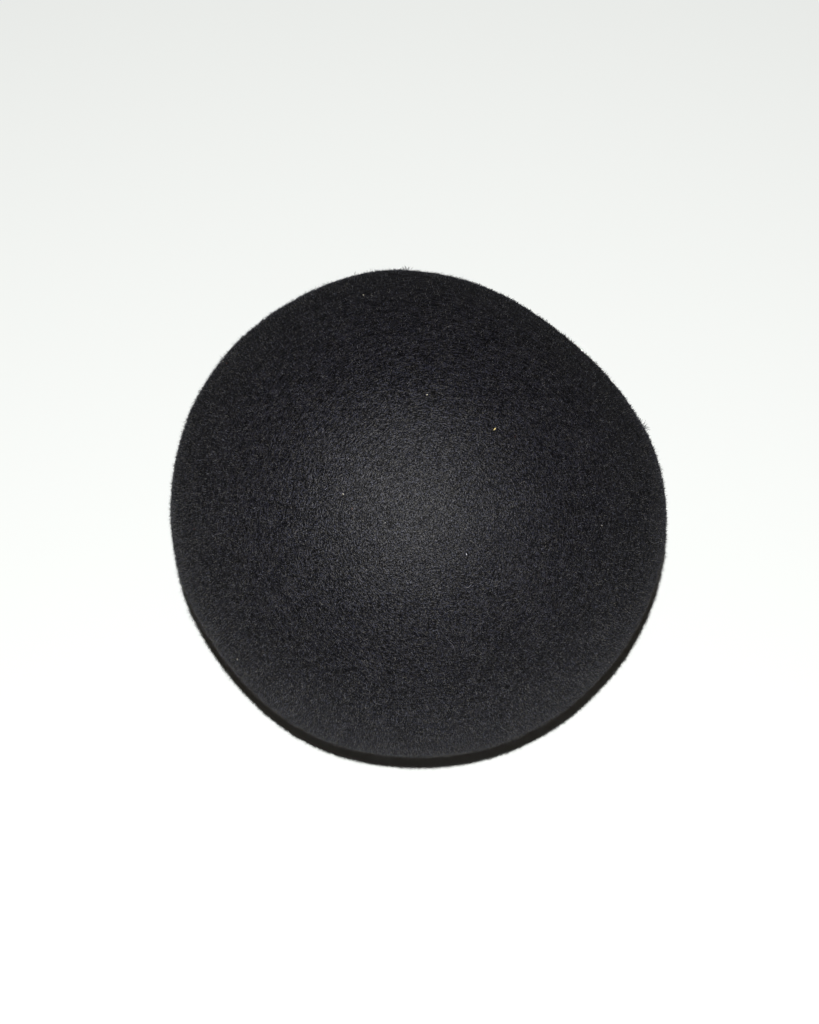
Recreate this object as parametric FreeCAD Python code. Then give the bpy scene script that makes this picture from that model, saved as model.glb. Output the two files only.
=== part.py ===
import FreeCAD, Part
import math
import os

# A felted wool dryer ball, lying still on a flat surface. Everything is in millimetres, +Z is up,
# and the origin is on that surface, under the middle of the ball's plan.
#
# The ball is wool right through. A tight core is rolled first, carded wool is wrapped round it in
# layers that cross, and a skin of fine black wool goes on last. Wet felting then shrinks them into
# one firm ball, so each layer touches the next all over and nothing is loose inside.

# Driving dimensions
BALL_RADIUS = 37.0  # mean radius of the finished ball
REST_PATCH_RADIUS = 8.0  # the felt gives this far out where it carries the ball's weight
CORE_RADIUS = 15.0
WRAPS = {
    "inner_wool_wrap": (CORE_RADIUS, 21.0),
    "middle_wool_wrap": (21.0, 27.0),
    "outer_wool_wrap": (27.0, 33.0),
}
SKIN_THICKNESS = 4.0

# Felting leaves broad swells and flats. Each has the azimuth and elevation of its middle, seen from
# the ball's centre, its height above the mean radius, and the angle at which it has mostly faded.
LUMPS = {
    "flat_behind_on_the_right": (48.0, 17.0, -1.75, 29.0),
    "right_shoulder": (0.0, 0.0, 1.2, 29.0),
    "left_swell": (146.0, 13.0, 0.7, 30.0),
    "rear_swell": (101.0, 22.0, 0.5, 17.0),
    "left_front_flat": (-144.0, -13.0, -0.85, 20.0),
    "front_flat": (-92.0, -22.0, -0.4, 17.0),
    "low_rear_flat": (80.0, -32.0, -0.6, 30.0),
    "low_left_swell": (-170.0, -45.0, 0.5, 28.0),
    "low_front_swell": (-50.0, -42.0, 0.4, 26.0),
}
LUMP_FADE = 2.0  # lumps shrink towards the core as this power of the layer's radius

# Each surface is six patches that meet like a cube's faces blown up to a ball, so that it has no
# poles. A patch reaches 45 degrees each way from its middle. It is shaped a little past that and
# trimmed back, so that neighbours run on smoothly from each other.
PATCH_STEP_DEG = 9
PATCH_STEPS = 5  # from the middle to the edge
SPARE_STEPS = 2
JOINING_GAP = 0.001  # the patches' edges meet to within this


def direction(azimuth_deg, elevation_deg):
    azimuth = math.radians(azimuth_deg)
    elevation = math.radians(elevation_deg)
    return FreeCAD.Vector(
        math.cos(elevation) * math.cos(azimuth),
        math.cos(elevation) * math.sin(azimuth),
        math.sin(elevation),
    )


def lump_height(towards):
    """Height of the finished ball's surface above its mean radius, in one direction."""
    height = 0.0
    for azimuth, elevation, rise, width in LUMPS.values():
        away_deg = math.degrees(towards.getAngle(direction(azimuth, elevation)))
        height += rise * math.exp(-((away_deg / width) ** 2))
    return height


def surface_point(towards, radius):
    """The point of a layer's surface in one direction from the ball's centre."""
    fade = (radius / BALL_RADIUS) ** LUMP_FADE
    unit = FreeCAD.Vector(towards).normalize()
    return unit * (radius + fade * lump_height(unit))


def patch(radius, middle, side, up):
    """One of the six faces of a layer's surface."""
    reach = PATCH_STEPS + SPARE_STEPS
    slopes = [math.tan(math.radians(PATCH_STEP_DEG * i)) for i in range(-reach, reach + 1)]
    grid = [[surface_point(middle + side * a + up * b, radius) for b in slopes] for a in slopes]
    surface = Part.BSplineSurface()
    surface.interpolate(grid)
    u = surface.getUKnots()
    v = surface.getVKnots()
    last = SPARE_STEPS + 2 * PATCH_STEPS
    surface.segment(u[SPARE_STEPS], u[last], v[SPARE_STEPS], v[last])
    return surface.toShape()


def felt_ball(radius):
    """A solid ball out to a mean radius, with the finished ball's lumps faded to suit."""
    x = FreeCAD.Vector(1, 0, 0)
    y = FreeCAD.Vector(0, 1, 0)
    z = FreeCAD.Vector(0, 0, 1)
    faces = []
    for middle, side, up in ((x, y, z), (y, z, x), (z, x, y)):
        faces.append(patch(radius, middle, side, up))
        faces.append(patch(radius, -middle, up, side))
    joined, _ = faces[0].generalFuse(faces[1:], JOINING_GAP)
    return Part.Solid(Part.Shell(joined.Faces))


def wrap(inner_radius, outer_radius):
    """One layer of wool, laid all the way round the ball beneath it."""
    return felt_ball(outer_radius).cut(felt_ball(inner_radius))


def press_flat(shape, centre_height):
    """Raise a layer to its height above the surface, and flatten it where it rests there."""
    shape.translate(FreeCAD.Vector(0, 0, centre_height))
    reach = 2 * BALL_RADIUS
    surface_block = Part.makeBox(2 * reach, 2 * reach, reach, FreeCAD.Vector(-reach, -reach, -reach))
    return shape.cut(surface_block)


def layers():
    """Every layer of the ball, from the core out, by its node name."""
    nodes = {"starter_core": felt_ball(CORE_RADIUS)}
    for name, (inner_radius, outer_radius) in WRAPS.items():
        nodes[name] = wrap(inner_radius, outer_radius)
    nodes["black_felt_skin"] = wrap(BALL_RADIUS - SKIN_THICKNESS, BALL_RADIUS)
    return nodes


def main():
    centre_height = math.sqrt(BALL_RADIUS**2 - REST_PATCH_RADIUS**2)
    nodes = {name: press_flat(shape, centre_height) for name, shape in layers().items()}
    box = nodes["black_felt_skin"].optimalBoundingBox(False, False)
    os.makedirs("parts", exist_ok=True)
    for name, shape in nodes.items():
        shape.translate(FreeCAD.Vector(-box.Center.x, -box.Center.y, 0))
        shape.exportStep(f"parts/{name}.step")
        print(name, "valid" if shape.isValid() else "NOT VALID", round(shape.Volume, 1), "mm3")
    print("plan", round(box.XLength, 2), "by", round(box.YLength, 2), "height", round(box.ZMax, 2))


main()
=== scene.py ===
import math

import bpy
import numpy as np
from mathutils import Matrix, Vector, noise
from mathutils.bvhtree import BVHTree


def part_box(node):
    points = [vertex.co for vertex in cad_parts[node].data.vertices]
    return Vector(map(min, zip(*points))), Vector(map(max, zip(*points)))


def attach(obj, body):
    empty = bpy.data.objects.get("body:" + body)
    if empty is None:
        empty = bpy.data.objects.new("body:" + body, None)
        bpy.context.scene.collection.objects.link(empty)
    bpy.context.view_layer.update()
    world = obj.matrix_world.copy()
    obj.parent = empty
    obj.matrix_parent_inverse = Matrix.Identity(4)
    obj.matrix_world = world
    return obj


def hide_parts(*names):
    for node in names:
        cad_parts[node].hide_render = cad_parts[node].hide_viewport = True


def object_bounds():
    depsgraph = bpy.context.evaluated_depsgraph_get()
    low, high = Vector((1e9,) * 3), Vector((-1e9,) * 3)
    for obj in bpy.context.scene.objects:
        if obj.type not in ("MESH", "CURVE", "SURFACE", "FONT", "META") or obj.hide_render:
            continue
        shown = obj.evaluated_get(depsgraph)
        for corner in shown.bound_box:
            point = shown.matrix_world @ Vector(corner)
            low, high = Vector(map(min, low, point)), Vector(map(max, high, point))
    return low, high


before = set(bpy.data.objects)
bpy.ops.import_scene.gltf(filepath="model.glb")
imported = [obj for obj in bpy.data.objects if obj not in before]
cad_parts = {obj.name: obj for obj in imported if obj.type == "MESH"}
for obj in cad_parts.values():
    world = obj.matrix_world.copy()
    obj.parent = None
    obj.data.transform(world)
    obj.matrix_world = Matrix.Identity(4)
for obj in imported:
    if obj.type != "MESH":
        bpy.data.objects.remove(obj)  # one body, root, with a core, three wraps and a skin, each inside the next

CAD_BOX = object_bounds()

# A black felted wool ball on a white sheet, lit by a small flash close to the lens. Its layers follow
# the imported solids' own surfaces, and loose fibres lie and stand all over its skin.

MM = 0.001
BODY = "root"
random = np.random.default_rng(20)

# ---- The ball's place, from the frame ----------------------------------------------------------

core_low, core_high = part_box("starter_core")
CENTRE = np.array((core_low + core_high) / 2)
BALL_RADIUS = (CAD_BOX[1].x - CAD_BOX[0].x) / 2

# ---- The view: from the front and well above, about half a metre off ---------------------------

VIEW_ELEVATION = math.radians(68)
VIEW_DISTANCE = 0.50
FRAME_WIDTH = 819
FRAME_HEIGHT = 1024
SENSOR = 36.0
BALL_SHARE = 0.6059  # how wide the ball is shown, as a share of the frame's width
BALL_RIGHT = 0.0113  # how far right of the frame's middle it lies, as the same share
BALL_LOW = 0.0024  # and how far below it

RIGHT = np.array([1.0, 0.0, 0.0])
TO_VIEWER = np.array([0.0, -math.cos(VIEW_ELEVATION), math.sin(VIEW_ELEVATION)])
UP_IN_VIEW = np.cross(TO_VIEWER, RIGHT)


def unit(vectors):
    return vectors / np.linalg.norm(vectors, axis=-1, keepdims=True)


def facing(place):
    """The direction of a place on the side that faces the viewer."""
    across, up = place
    towards = math.sqrt(max(0.0, 1 - across**2 - up**2))
    return unit(across * RIGHT + up * UP_IN_VIEW + towards * TO_VIEWER)


# ---- Layers and fibres -------------------------------------------------------------------------

# How many quads a layer's surface has along each edge of the cube it is blown up from
SKIN_STEPS = 120
WRAP_STEPS = 64
INNER_STEPS = 40
OUTER_SMOOTHING = 60  # rounds of smoothing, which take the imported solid's facets off
INNER_SMOOTHING = 6
NAP_HEIGHT = 0.12 * MM  # the nap stands this far proud, so the felt beneath is set in by as much

# Wool was combed round this axis when the skin was laid, so more fibres run round it than along it.
COMBED_AXIS = unit(TO_VIEWER + 0.10 * RIGHT - 0.06 * UP_IN_VIEW)

# The counts are for each of the pieces.
MATTED_PIECES = 3
MATTED_COUNT = 8000
NAP_PIECES = 4
NAP_COUNT = 32000
FUZZ_PIECES = 3
FUZZ_COUNT = 46000
# The pale fuzz is massed on this side, where the floor's light falls on the rim: partly real fuzz, partly
# painted rim light.
FUZZ_AND_RIM_LIGHT_SIDE = unit(-UP_IN_VIEW - 0.4 * RIGHT)
FUZZ_ELSEWHERE = 0.06  # the share of the fuzz that is left on the far side from that
FUZZ_WIDTH = 0.03 * MM
TUFT_COUNT = 14
TUFT_SPREAD = 0.006  # in ball radii
TUFT_WIDTH = 0.05 * MM
STRAY_COUNT = 46
LINT_COUNT = 34
LINT_LIFT = 0.16 * MM
ABOVE_FLOOR = 0.02 * MM  # fibres stay this far above the floor

# Places on the side that faces the viewer: how far across and how far up, in ball radii
WHITE_LINT = [(-0.28, 0.08), (0.19, -0.15), (-0.21, 0.87), (0.04, 0.46), (-0.12, -0.03)]
STRAW_FLECK = (0.30, 0.33)
BRIGHT_STRAYS = [(0.08, -0.47), (0.14, -0.51), (0.20, -0.27)]
TUFTS = {"top": (-0.04, 1.0), "right": (0.93, 0.36), "low_left": (-0.93, -0.33)}

# ---- Looks -------------------------------------------------------------------------------------

SHEEN_TINT = (0.82, 0.84, 1.0, 1.0)
AXIS_FADE = 0.3  # strands die out this near to their own axis, in ball radii
STRANDS_FROM_AXIS = 0.6  # and are as long as asked for this far from it
OWN_SIDE = 0.3  # how much a fibre's own sides count, against the felt's, in how it takes light
PALER_BELOW = 52 * MM  # painted floor bounce: wool is painted paler below this height, in place of light bounced off the floor
# the painted floor bounce is at its fullest from this height down
PALEST_BELOW = 29 * MM

# ---- Stage and light ---------------------------------------------------------------------------

FLOOR_SIDE = 8.0
FAR_FLOOR = 0.90  # how bright the sheet looks far from the light
ROOM_LIGHT = 0.019
ROOM_TINT = (1.0, 0.84, 0.62, 1.0)
WHITE = (1.0, 1.0, 1.0, 1.0)
LIGHT_ELEVATION = VIEW_ELEVATION + math.radians(4.3)
LIGHT_LEFTWARDS = math.radians(1.2)  # from straight in front of the ball
LIGHT_DISTANCE = 0.56
LIGHT_POWER = 16.2
LIGHT_RADIUS = 0.0025


# ---- Meshes ------------------------------------------------------------------------------------


def new_piece(name, points, faces, material):
    """A smooth mesh from rows of points and of equal faces, riding on the ball's body."""
    sides = faces.shape[1]
    mesh = bpy.data.meshes.new(name)
    mesh.vertices.add(len(points))
    mesh.vertices.foreach_set("co", points.astype(np.float32).ravel())
    mesh.loops.add(faces.size)
    mesh.loops.foreach_set("vertex_index", faces.astype(np.int32).ravel())
    mesh.polygons.add(len(faces))
    mesh.polygons.foreach_set("loop_start", np.arange(0, faces.size, sides, dtype=np.int32))
    mesh.update(calc_edges=True)
    mesh.validate()
    mesh.shade_smooth()
    mesh.materials.append(material)
    piece = bpy.data.objects.new(name, mesh)
    bpy.context.scene.collection.objects.link(piece)
    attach(piece, BODY)
    return piece


def cube_ball(steps):
    """Directions and outward quads of a cube's grid blown up to a ball, with even angles."""
    x, y, z = np.eye(3, dtype=int)
    i, j = np.meshgrid(np.arange(steps + 1), np.arange(steps + 1), indexing="ij")
    i, j = (2 * i - steps)[..., None], (2 * j - steps)[..., None]
    sheets = []
    for middle, side, up in ((x, y, z), (y, z, x), (z, x, y)):
        sheets.append(middle * steps + side * i + up * j)
        sheets.append(-middle * steps + up * i + side * j)
    lattice = np.array(sheets).reshape(-1, 3)
    corners, where = np.unique(lattice, axis=0, return_inverse=True)
    where = where.reshape(6, steps + 1, steps + 1)
    quads = np.stack(
        [where[:, :-1, :-1], where[:, 1:, :-1], where[:, 1:, 1:], where[:, :-1, 1:]], axis=-1
    )
    return unit(np.tan(math.pi / 4 * corners / steps)), quads.reshape(-1, 4)


def tree_of(piece):
    """A search tree of a piece's faces, for casting rays at it."""
    mesh = piece.data
    return BVHTree.FromPolygons(
        [piece.matrix_world @ v.co for v in mesh.vertices], [p.vertices[:] for p in mesh.polygons]
    )


def radii_on(tree, directions, inner=False):
    """How far from the centre each direction meets a surface, at its outermost or its innermost."""
    centre = Vector(CENTRE)
    far = 2 * BALL_RADIUS
    radii = np.empty(len(directions))
    for k, direction in enumerate(directions):
        ray = Vector(direction)
        start = centre if inner else centre + ray * far
        _, _, _, run = tree.ray_cast(start, ray if inner else -ray)
        radii[k] = run if inner else far - run
    return radii


def smoothed(values, quads, rounds):
    """Values at a mesh's points, each moved towards the mean of its neighbours, over and over."""
    ends = np.concatenate([quads[:, [k, (k + 1) % 4]] for k in range(4)])
    count = np.bincount(ends[:, 0], minlength=len(values))
    for _ in range(rounds):
        total = np.bincount(ends[:, 0], values[ends[:, 1]], len(values))
        values = (values + total / count) / 2
    return values


def noise_at(directions, size, seed):
    """Smooth noise of about unit height over the ball's surface, with features of this size."""
    shift = Vector((seed, 1.7 * seed, -2.3 * seed))
    scale = BALL_RADIUS / size
    return np.array([noise.noise(Vector(d) * scale + shift) for d in directions])


# ---- Fibres ------------------------------------------------------------------------------------


def tube_faces(knots):
    """Triangles of one three-sided tube that is pointed at both ends."""
    faces = []
    rings = knots - 2
    last = 1 + 3 * rings
    for j in range(3):
        k = (j + 1) % 3
        faces.append((0, 1 + k, 1 + j))
        for r in range(rings - 1):
            low = 1 + 3 * r
            high = low + 3
            faces.append((low + j, low + k, high + k))
            faces.append((low + j, high + k, high + j))
        faces.append((last - 3 + j, last - 3 + k, last))
    return np.array(faces)


def fibres(name, lines, thickness, material):
    """A piece made of thin pointed tubes, one along each line of knots."""
    count, knots, _ = lines.shape
    along = unit(np.gradient(lines, axis=1))
    out = unit(lines - CENTRE)
    across = unit(np.cross(along, out))
    out = np.cross(across, along)
    taper = np.sin(np.pi * np.linspace(0.0, 1.0, knots)) ** 0.5
    radius = (np.asarray(thickness).reshape(-1, 1) / 2 * taper)[:, 1:-1, None]
    sides = []
    for j in range(3):
        turn = 2 * math.pi * j / 3 + math.pi / 2
        outward = math.cos(turn) * out[:, 1:-1] - math.sin(turn) * across[:, 1:-1]
        sides.append(lines[:, 1:-1] + radius * outward)
    rings = np.stack(sides, axis=2).reshape(count, -1, 3)
    points = np.concatenate([lines[:, :1], rings, lines[:, -1:]], axis=1)
    faces = tube_faces(knots)[None] + (np.arange(count) * points.shape[1])[:, None, None]
    points = points.reshape(-1, 3)
    points[:, 2] = np.maximum(points[:, 2], ABOVE_FLOOR)
    new_piece(name, points, faces.reshape(-1, 3), material)


def scattered(count):
    """Directions spread at random over the ball."""
    return unit(random.normal(size=(count, 3)))


def headings(roots, combed_share=0.0, spread_deg=0):
    """Tangents at the roots: a share run round the combed axis, give or take, and the rest anyhow."""
    round_axis = unit(np.cross(COMBED_AXIS, roots))
    up_axis = np.cross(roots, round_axis)
    combed = random.random(len(roots)) < combed_share
    turn = np.where(
        combed,
        random.normal(0, math.radians(spread_deg), len(roots)),
        random.uniform(0, math.pi, len(roots)),
    )
    return np.cos(turn)[:, None] * round_axis + np.sin(turn)[:, None] * up_axis


def lying_lines(tree, roots, tangents, lengths, knots, lift, sink, bend):
    """Fibres that lie on the felt and curve a little, risen in the middle and sunk at both ends."""
    sideways = np.cross(roots, tangents)
    t = np.linspace(-1.0, 1.0, knots)
    reach = lengths[:, None] / 2 * t
    curl = random.normal(0, bend, (len(roots), 1)) * lengths[:, None]
    wave = random.normal(0, bend / 4, (len(roots), 1)) * lengths[:, None]
    drift = curl * (t**2 - 0.4) + wave * np.sin(math.pi * t)
    steps = tangents[:, None] * reach[..., None] + sideways[:, None] * drift[..., None]
    spots = unit(roots[:, None] + steps / BALL_RADIUS)
    radii = radii_on(tree, spots.reshape(-1, 3)).reshape(spots.shape[:2])
    height = lift[:, None] * (1 - t**2) - sink
    return CENTRE + spots * (radii + height)[..., None]


def standing_lines(tree, roots, tangents, lengths, lean_deg, knots):
    """Fibres rooted in the felt that rise from it and bend over."""
    sideways = np.cross(roots, tangents)
    t = np.linspace(0.0, 1.0, knots)
    lean = np.radians(lean_deg)[:, None]
    fall = random.uniform(0.1, 0.9, (len(roots), 1))
    reach = lengths[:, None] * np.cos(lean) * t
    rise = lengths[:, None] * np.sin(lean) * (t - fall * 0.5 * t**2) / (1 - 0.25 * fall)
    drift = lengths[:, None] * random.normal(0, 0.25, (len(roots), 1)) * t**2
    radii = radii_on(tree, roots) - 0.05 * MM
    return (
        CENTRE
        + roots[:, None] * (radii[:, None] + rise)[..., None]
        + tangents[:, None] * reach[..., None]
        + sideways[:, None] * drift[..., None]
    )


# ---- Nodes -------------------------------------------------------------------------------------


def start_material(name):
    material = bpy.data.materials.new(name)
    material.use_nodes = True
    tree = material.node_tree
    return material, tree, tree.nodes["Principled BSDF"]


def set_inputs(node, values):
    for name, value in values.items():
        node.inputs[name].default_value = value


def noise_node(tree, coordinates, scale, detail):
    node = tree.nodes.new("ShaderNodeTexNoise")
    set_inputs(node, {"Scale": scale, "Detail": detail})
    tree.links.new(coordinates, node.inputs["Vector"])
    return node.outputs["Fac"]


def ramp_node(tree, value, stops):
    node = tree.nodes.new("ShaderNodeValToRGB")
    while len(node.color_ramp.elements) < len(stops):
        node.color_ramp.elements.new(0.5)
    for element, (place, colour) in zip(node.color_ramp.elements, stops):
        element.position = place
        element.color = (*colour, 1.0)
    tree.links.new(value, node.inputs["Fac"])
    return node.outputs["Color"]


def math_node(tree, operation, a, b=0.0):
    node = tree.nodes.new("ShaderNodeMath")
    node.operation = operation
    for socket, value in zip(node.inputs, (a, b)):
        if isinstance(value, (int, float)):
            socket.default_value = value
        else:
            tree.links.new(value, socket)
    return node.outputs[0]


def vector_node(tree, operation, a, b=None, output=0):
    node = tree.nodes.new("ShaderNodeVectorMath")
    node.operation = operation
    tree.links.new(a, node.inputs[0])
    if isinstance(b, (tuple, np.ndarray)):
        node.inputs[1].default_value = tuple(b)
    elif b is not None:
        tree.links.new(b, node.inputs[1])
    return node.outputs[output]


def bump_node(tree, height, strength, distance):
    node = tree.nodes.new("ShaderNodeBump")
    set_inputs(node, {"Strength": strength, "Distance": distance})
    tree.links.new(height, node.inputs["Height"])
    return node.outputs[0]


def range_node(tree, value, start, end, low, high):
    """Runs from low to high as the value runs from start to end, and goes no further."""
    node = tree.nodes.new("ShaderNodeMapRange")
    set_inputs(node, {"From Min": start, "From Max": end, "To Min": low, "To Max": high})
    tree.links.new(value, node.inputs["Value"])
    return node.outputs[0]


def mixed_values(tree, share, first, second):
    """One value where the share is nothing, and another where it is whole."""
    mix = tree.nodes.new("ShaderNodeMix")
    for name, value in (("Factor", share), ("A", first), ("B", second)):
        tree.links.new(value, mix.inputs[name])
    return mix.outputs["Result"]


def blend(tree, parts):
    """The parts' noise about its middle value, each with its own share, around one half."""
    total = 0.5 - 0.5 * sum(share for _, share in parts)
    for value, share in parts:
        total = math_node(tree, "ADD", math_node(tree, "MULTIPLY", value, share), total)
    return total


# ---- Wool --------------------------------------------------------------------------------------


def object_place(tree):
    return tree.nodes.new("ShaderNodeTexCoord").outputs["Object"]


def away_from_centre(tree, place):
    return vector_node(tree, "NORMALIZE", vector_node(tree, "SUBTRACT", place, CENTRE))


def streaks(tree, place, axis, across, along, detail=1.0):
    """Noise drawn out into short strands that run round an axis through the ball's middle."""
    first = unit(np.cross(axis, RIGHT + 0.3 * UP_IN_VIEW))
    second = np.cross(axis, first)
    out = away_from_centre(tree, place)
    height = vector_node(tree, "DOT_PRODUCT", out, axis, "Value")
    x = vector_node(tree, "DOT_PRODUCT", out, first, "Value")
    y = vector_node(tree, "DOT_PRODUCT", out, second, "Value")
    polar = math_node(tree, "ARCCOSINE", height)
    turn = math_node(tree, "ARCTAN2", y, x)
    turn_scale = STRANDS_FROM_AXIS * BALL_RADIUS / along
    join = tree.nodes.new("ShaderNodeCombineXYZ")
    tree.links.new(math_node(tree, "MULTIPLY", polar, BALL_RADIUS / across), join.inputs[0])
    tree.links.new(math_node(tree, "MULTIPLY", turn, turn_scale), join.inputs[1])
    strands = noise_node(tree, join.outputs[0], 1.0, detail)
    fade = math_node(tree, "MULTIPLY", math_node(tree, "SINE", polar), 1 / AXIS_FADE)
    fade = math_node(tree, "MINIMUM", fade, 1.0)
    strands = math_node(tree, "MULTIPLY", math_node(tree, "SUBTRACT", strands, 0.5), fade)
    return math_node(tree, "ADD", strands, 0.5)


def tinted(tree, colour, place, cool, warm):
    """A colour that leans from cool to warm and back from one speck of wool to the next."""
    specks = noise_node(tree, place, 3800, 1.0)
    mix = tree.nodes.new("ShaderNodeMix")
    mix.data_type = "RGBA"
    mix.blend_type = "MULTIPLY"
    mix.inputs["Factor"].default_value = 1.0
    tree.links.new(colour, mix.inputs["A"])
    tree.links.new(ramp_node(tree, specks, [(0.38, cool), (0.62, warm)]), mix.inputs["B"])
    return mix.outputs["Result"]


def painted_floor_bounce(tree, place, most):
    """Painted light bounced from the floor: nothing on the upper half of the ball, and growing to this much
    where it nears the floor.
    """
    split = tree.nodes.new("ShaderNodeSeparateXYZ")
    tree.links.new(place, split.inputs[0])
    return range_node(tree, split.outputs[2], PALER_BELOW, PALEST_BELOW, 0.0, most)


def wool_shine(tree, shader, normal):
    """A soft shine that grows little towards the ball's rim, because only part of the wool has it."""
    tree.links.new(normal, shader.inputs["Coat Normal"])
    set_inputs(
        shader,
        {"Specular IOR Level": 0.0, "Coat Weight": 0.057, "Coat IOR": 2.5, "Coat Roughness": 0.40},
    )


def black_felt():
    """Dense black felt: fine matted grain, short strands that cross and faint locks of wool."""
    material, tree, shader = start_material("black felt")
    place = object_place(tree)
    crossing_axis = unit(COMBED_AXIS + 1.2 * RIGHT)
    mixed = blend(
        tree,
        [
            (noise_node(tree, place, 5200, 1.0), 1.4),
            (streaks(tree, place, COMBED_AXIS, 0.16 * MM, 0.9 * MM), 1.1),
            (streaks(tree, place, crossing_axis, 0.17 * MM, 0.6 * MM), 0.4),
            (noise_node(tree, place, 1500, 1.0), 0.1),
            (streaks(tree, place, COMBED_AXIS, 0.5 * MM, 4.0 * MM), 0.35),
            (noise_node(tree, place, 60, 2.0), 0.1),
        ],
    )
    stops = [
        (0.30, (0.0018, 0.0018, 0.0023)),
        (0.50, (0.0062, 0.0061, 0.0078)),
        (0.80, (0.0310, 0.0303, 0.0370)),
    ]
    # painted floor bounce: the felt is painted a little paler near the floor
    shade = math_node(tree, "ADD", mixed, painted_floor_bounce(tree, place, 0.15))
    colour = ramp_node(tree, shade, stops)
    colour = tinted(tree, colour, place, (0.84, 0.90, 1.22), (1.16, 1.10, 0.82))
    tree.links.new(colour, shader.inputs["Base Color"])
    shader.inputs["Roughness"].default_value = 0.7
    bump = bump_node(tree, mixed, 0.7, 0.12 * MM)
    tree.links.new(bump, shader.inputs["Normal"])
    wool_shine(tree, shader, bump)
    shine = range_node(tree, mixed, 0.34, 0.80, 0.03, 0.155)
    tree.links.new(shine, shader.inputs["Coat Weight"])
    return material


def fibre_wool(name, stops, sheen=0.10):
    """Single fibres of wool, each of its own shade, which drifts a little along it."""
    material, tree, shader = start_material(name)
    place = object_place(tree)
    geometry = tree.nodes.new("ShaderNodeNewGeometry")
    drift = noise_node(tree, place, 1800, 1.0)
    mixed = blend(tree, [(geometry.outputs["Random Per Island"], 0.8), (drift, 0.6)])
    # painted floor bounce: the fibres are painted much paler near the floor
    shade = math_node(tree, "ADD", mixed, painted_floor_bounce(tree, place, 0.8))
    colour = ramp_node(tree, shade, stops)
    colour = tinted(tree, colour, place, (0.86, 0.92, 1.18), (1.14, 1.08, 0.86))
    tree.links.new(colour, shader.inputs["Base Color"])
    side = vector_node(tree, "MULTIPLY", geometry.outputs["Normal"], (OWN_SIDE,) * 3)
    outward = vector_node(tree, "ADD", away_from_centre(tree, place), side)
    outward = vector_node(tree, "NORMALIZE", outward)
    tree.links.new(outward, shader.inputs["Normal"])
    wool_shine(tree, shader, outward)
    set_inputs(
        shader,
        {"Roughness": 0.6, "Sheen Weight": sheen, "Sheen Roughness": 0.3, "Sheen Tint": SHEEN_TINT},
    )
    return material


def undyed_wool(name, shade, sliver):
    """Carded wool, undyed, laid in slivers that cross: cream, with paler and browner strands."""
    material, tree, shader = start_material(name)
    place = object_place(tree)
    strands = streaks(tree, place, unit(RIGHT + 0.4 * UP_IN_VIEW), sliver, 20 * sliver, 3.0)
    patches = place
    for axis in (unit(UP_IN_VIEW + 0.3 * TO_VIEWER), unit(TO_VIEWER - 0.5 * RIGHT)):
        patch_noise = noise_node(tree, patches, 70, 1.0)
        lap = ramp_node(tree, patch_noise, [(0.49, (0, 0, 0)), (0.51, (1, 1, 1))])
        other = streaks(tree, place, axis, sliver, 20 * sliver, 3.0)
        strands = mixed_values(tree, lap, strands, other)
        patches = vector_node(tree, "ADD", patches, (0.1, 0.1, 0.1))
    browner = tuple(0.55 * c for c in shade)
    colour = ramp_node(tree, strands, [(0.30, browner), (0.62, shade)])
    tree.links.new(colour, shader.inputs["Base Color"])
    tree.links.new(bump_node(tree, strands, 0.8, 0.4 * MM), shader.inputs["Normal"])
    set_inputs(shader, {"Roughness": 0.85, "Sheen Weight": 0.2})
    return material


# ---- The layers --------------------------------------------------------------------------------


def layer(name, node, steps, relief, material, hollow=True):
    """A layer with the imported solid's own surfaces, and relief on the outer one."""
    tree = tree_of(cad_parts[node])
    directions, faces = cube_ball(steps)
    radii = smoothed(radii_on(tree, directions), faces, OUTER_SMOOTHING)
    points = CENTRE + directions * (radii + relief(directions))[:, None]
    points[:, 2] = np.maximum(points[:, 2], 0.0)
    if hollow:
        inner_directions, inner_faces = cube_ball(INNER_STEPS)
        inner_radii = radii_on(tree, inner_directions, inner=True)
        inner_radii = smoothed(inner_radii, inner_faces, INNER_SMOOTHING)
        inner_points = CENTRE + inner_directions * inner_radii[:, None]
        faces = np.concatenate([faces, inner_faces[:, ::-1] + len(points)])
        points = np.concatenate([points, inner_points])
    piece = new_piece(name, points, faces, material)
    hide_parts(node)
    return piece


def felt_relief(directions):
    """The felt's own unevenness: shallow dimples, and matted clumps on them."""
    dimples = 0.10 * noise_at(directions, 7 * MM, 3.1)
    clumps = 0.06 * noise_at(directions, 2.4 * MM, 11.3)
    nubs = 0.04 * noise_at(directions, 1.1 * MM, 23.9)
    return (dimples + clumps + nubs) * MM - NAP_HEIGHT


def wound_relief(count, half_width, depth, grooves):
    """Relief of strips wound round and round, each over the last, with grooves along them."""
    axes = scattered(count)
    edge = 0.62  # a strip's crown has to stand this high to lie over the one before

    def relief(directions):
        height = np.zeros(len(directions))
        for axis in axes:
            across = directions @ axis / half_width
            crown = np.sqrt(np.clip(1 - across**2, 0, 1))
            strip = 0.6 + 0.4 * crown + 0.08 * np.cos(grooves * math.pi * across)
            height = np.where((abs(across) < 1) & (strip > edge), strip, height)
        return depth * (np.minimum(height, 1.0) - 1.0)

    return relief


def make_inside():
    """What the skin hides: a wound core, and wraps of combed wool that cross each other."""
    core_wool = undyed_wool("core wool", (0.62, 0.56, 0.47), 0.3 * MM)
    wrap_wool = undyed_wool("wrap wool", (0.83, 0.78, 0.69), 0.4 * MM)
    windings = wound_relief(70, 0.07, 0.5 * MM, 2)
    layer("wound_core", "starter_core", WRAP_STEPS, windings, core_wool, hollow=False)
    for name in ("inner", "middle", "outer"):
        strips = wound_relief(18, 0.22, 0.35 * MM, 9)
        node = f"{name}_wool_wrap"
        layer(f"{name}_wrap", node, WRAP_STEPS, strips, wrap_wool)


def make_skin():
    felt = black_felt()
    skin = layer("felt_skin", "black_felt_skin", SKIN_STEPS, felt_relief, felt)
    return skin


# ---- Loose fibres on the skin ------------------------------------------------------------------


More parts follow.
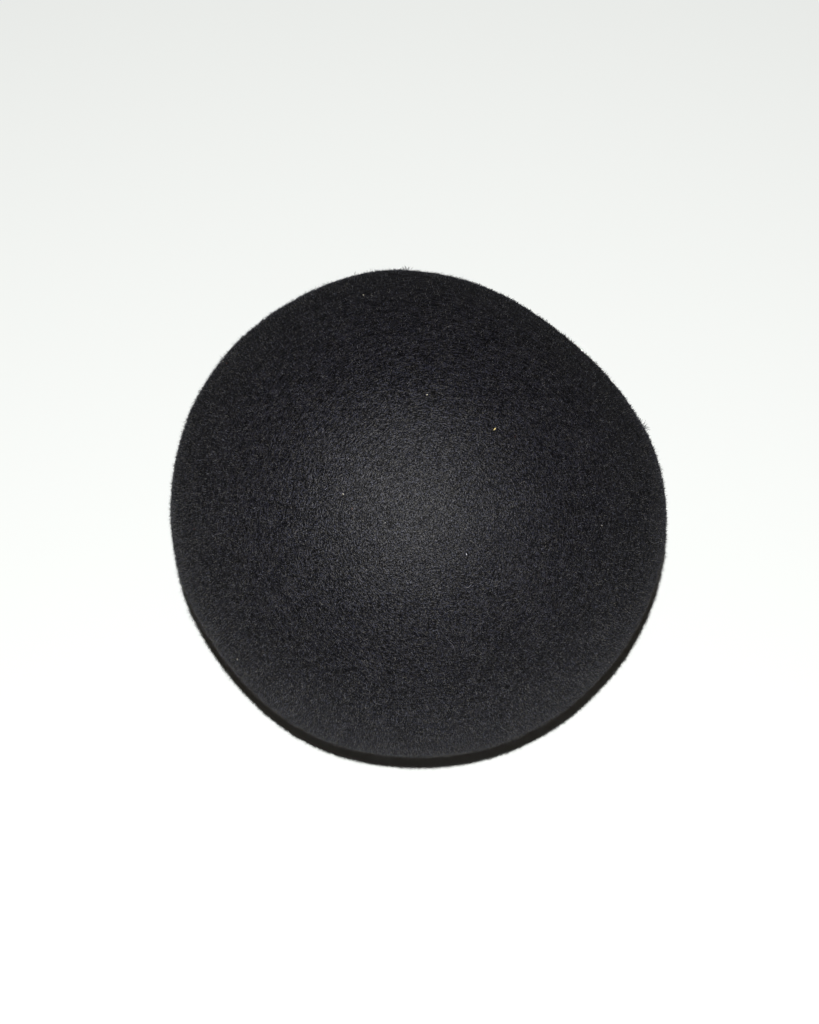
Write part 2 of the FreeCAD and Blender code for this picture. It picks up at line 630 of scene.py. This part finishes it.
def make_matting(tree, wool):
    """Fibres worked flat into the surface, which cross at all angles."""
    for k in range(MATTED_PIECES):
        roots = scattered(MATTED_COUNT)
        lengths = random.uniform(1.2, 3.6, MATTED_COUNT) * MM
        lift = random.uniform(0.02, 0.12, MATTED_COUNT) * MM
        tangents = headings(roots, 0.55, 22)
        lines = lying_lines(tree, roots, tangents, lengths, 5, lift, 0.04 * MM, 0.12)
        widths = random.uniform(0.035, 0.075, MATTED_COUNT) * MM
        fibres(f"matted_fibres_{k + 1}", lines, widths, wool)


def make_nap(tree, wool):
    """Short fibre ends that stand all over the felt."""
    for k in range(NAP_PIECES):
        roots = scattered(NAP_COUNT)
        lengths = random.gamma(6.0, 0.06, NAP_COUNT) * MM
        lean = random.uniform(35, 85, NAP_COUNT)
        lines = standing_lines(tree, roots, headings(roots, 0.3, 40), lengths, lean, 3)
        widths = random.uniform(0.06, 0.10, NAP_COUNT) * MM
        fibres(f"nap_{k + 1}", lines, widths, wool)


def make_fuzz(tree):
    """Finer, paler and longer ends, which show as a halo round the ball and a light rim; pale and massed on the
    side towards the floor, they are partly real fuzz and partly a painted rim light.
    """
    # pale partly as fine wool is, and partly as painted rim light
    pale = [(0.1, (0.11, 0.109, 0.112)), (0.9, (0.35, 0.347, 0.357))]
    wool = fibre_wool("fine fibre", pale, sheen=0.0)
    for k in range(FUZZ_PIECES):
        roots = scattered(FUZZ_COUNT)
        share = np.minimum(1.0, 0.75 * (1 + roots @ FUZZ_AND_RIM_LIGHT_SIDE))
        kept = FUZZ_ELSEWHERE + (1 - FUZZ_ELSEWHERE) * share
        roots = roots[random.random(FUZZ_COUNT) < kept]
        count = len(roots)
        lengths = random.gamma(7.0, 0.07, count) * MM
        lean = random.uniform(65, 90, count)
        lines = standing_lines(tree, roots, headings(roots, 0.2, 40), lengths, lean, 3)
        fibres(f"surface_fuzz_{k + 1}", lines, np.full(count, FUZZ_WIDTH), wool)


def make_tufts(tree, wool):
    """Longer ends that have worked loose together at a few places."""
    for name, place in TUFTS.items():
        roots = unit(facing(place) + random.normal(0, TUFT_SPREAD, (TUFT_COUNT, 3)))
        lengths = random.uniform(0.7, 1.5, TUFT_COUNT) * MM
        tangents = headings(roots)
        lean = random.uniform(35, 75, TUFT_COUNT)
        lines = standing_lines(tree, roots, tangents, lengths, lean, 5)
        fibres(f"tuft_{name}", lines, np.full(TUFT_COUNT, TUFT_WIDTH), wool)


def make_strays(tree):
    """A few long loose fibres that catch the light."""
    wool = fibre_wool("grey fibre", [(0.1, (0.05, 0.05, 0.055)), (0.9, (0.22, 0.21, 0.22))])
    shown = np.array([facing(place) for place in BRIGHT_STRAYS])
    roots = np.concatenate([shown, scattered(STRAY_COUNT)])
    count = len(roots)
    lengths = random.uniform(0.9, 2.4, count) * MM
    lift = random.uniform(0.15, 0.3, count) * MM
    tangents = headings(roots, 0.2, 40)
    lines = lying_lines(tree, roots, tangents, lengths, 9, lift, 0.02 * MM, 0.16)
    fibres("stray_fibres", lines, random.uniform(0.04, 0.065, count) * MM, wool)


def make_lint(tree):
    """Specks of other wool and dust, caught in the nap."""
    white = [(0.2, (0.55, 0.52, 0.42)), (0.9, (0.90, 0.88, 0.80))]
    straw = [(0.2, (0.52, 0.42, 0.16)), (0.9, (0.80, 0.68, 0.34))]
    mixed = [(0.2, (0.10, 0.03, 0.02)), (0.5, (0.22, 0.20, 0.19)), (0.9, (0.55, 0.52, 0.45))]
    shown = np.array([facing(place) for place in WHITE_LINT])
    for name, roots, stops, shortest, longest in (
        ("white_lint", shown, white, 0.22, 0.34),
        ("straw_fleck", facing(STRAW_FLECK)[None], straw, 0.55, 0.60),
        ("mixed_lint", scattered(LINT_COUNT), mixed, 0.18, 0.40),
    ):
        count = len(roots)
        lengths = random.uniform(shortest, longest, count) * MM
        lift = np.full(count, LINT_LIFT)
        lines = lying_lines(tree, roots, headings(roots), lengths, 5, lift, -0.10 * MM, 0.1)
        widths = random.uniform(0.42, 0.6, count) * lengths
        fibres(name, lines, widths, fibre_wool(name.replace("_", " "), stops))


def make_fibres(skin):
    tree = tree_of(skin)
    stops = [
        (0.10, (0.0010, 0.0010, 0.0012)),
        (0.60, (0.0066, 0.0064, 0.0077)),
        (0.95, (0.0545, 0.0538, 0.0590)),
    ]
    dark = fibre_wool("black fibre", stops)
    make_matting(tree, dark)
    make_nap(tree, dark)
    make_fuzz(tree)
    make_tufts(tree, dark)
    make_strays(tree)
    make_lint(tree)


# ---- Stage, light and camera -------------------------------------------------------------------


def make_floor():
    """A plain white sheet. Beyond the lit middle it glows a little, so that it stays pale far out."""
    material, tree, shader = start_material("white sheet")
    colour = (0.885, 0.905, 0.885, 1.0)
    set_inputs(shader, {"Base Color": colour, "Roughness": 1.0, "Specular IOR Level": 0.0})
    away = vector_node(tree, "LENGTH", object_place(tree), output="Value")
    spread = math_node(tree, "POWER", math_node(tree, "DIVIDE", away, LIGHT_DISTANCE), 2.0)
    lit = math_node(tree, "POWER", math_node(tree, "ADD", spread, 1.0), -1.5)
    glow = math_node(tree, "MAXIMUM", math_node(tree, "SUBTRACT", FAR_FLOOR, lit), 0.0)
    shader.inputs["Emission Color"].default_value = WHITE
    tree.links.new(glow, shader.inputs["Emission Strength"])
    half = FLOOR_SIDE / 2
    mesh = bpy.data.meshes.new("floor")
    corners = [(-half, -half, 0), (half, -half, 0), (half, half, 0), (-half, half, 0)]
    mesh.from_pydata(corners, [], [(0, 1, 2, 3)])
    mesh.materials.append(material)
    floor = bpy.data.objects.new("floor", mesh)
    bpy.context.scene.collection.objects.link(floor)


def make_world():
    """A dim, warm room to light the ball by, which the camera sees as pale as the floor."""
    world = bpy.data.worlds.new("room")
    bpy.context.scene.world = world
    world.use_nodes = True
    tree = world.node_tree
    dim = tree.nodes["Background"]
    set_inputs(dim, {"Color": ROOM_TINT, "Strength": ROOM_LIGHT})
    pale = tree.nodes.new("ShaderNodeBackground")
    set_inputs(pale, {"Color": WHITE, "Strength": FAR_FLOOR})
    choose = tree.nodes.new("ShaderNodeMixShader")
    seen = tree.nodes.new("ShaderNodeLightPath").outputs["Is Camera Ray"]
    for k, output in enumerate((seen, dim.outputs[0], pale.outputs[0])):
        tree.links.new(output, choose.inputs[k])
    tree.links.new(choose.outputs[0], tree.nodes["World Output"].inputs["Surface"])


def make_key_light():
    towards = np.array(
        [
            -math.cos(LIGHT_ELEVATION) * math.sin(LIGHT_LEFTWARDS),
            -math.cos(LIGHT_ELEVATION) * math.cos(LIGHT_LEFTWARDS),
            math.sin(LIGHT_ELEVATION),
        ]
    )
    light = bpy.data.lights.new("key", "POINT")
    light.energy = LIGHT_POWER
    light.shadow_soft_size = LIGHT_RADIUS
    key = bpy.data.objects.new("key", light)
    key.location = CENTRE + towards * LIGHT_DISTANCE
    bpy.context.scene.collection.objects.link(key)


def make_camera():
    """A lens that shows the ball at its share of the frame, where sight lines just graze it."""
    shown_width = BALL_SHARE * FRAME_WIDTH / FRAME_HEIGHT * SENSOR
    grazing_distance = math.sqrt(VIEW_DISTANCE**2 - BALL_RADIUS**2)
    middle = np.array((CAD_BOX[0] + CAD_BOX[1]) / 2)
    frame_width_there = 2 * BALL_RADIUS / BALL_SHARE
    aim = middle + (UP_IN_VIEW * BALL_LOW - RIGHT * BALL_RIGHT) * frame_width_there
    data = bpy.data.cameras.new("camera")
    data.sensor_width = SENSOR
    data.lens = shown_width * grazing_distance / (2 * BALL_RADIUS)
    data.clip_start = 0.01
    data.clip_end = 20.0
    camera = bpy.data.objects.new("camera", data)
    camera.location = aim + TO_VIEWER * VIEW_DISTANCE
    camera.rotation_euler = (math.pi / 2 - VIEW_ELEVATION, 0.0, 0.0)
    bpy.context.scene.collection.objects.link(camera)
    bpy.context.scene.camera = camera


# ---- Everything together -----------------------------------------------------------------------

make_inside()
felt_skin = make_skin()
make_fibres(felt_skin)
make_floor()
make_world()
make_key_light()
make_camera()
bpy.context.scene.view_settings.view_transform = "Standard"
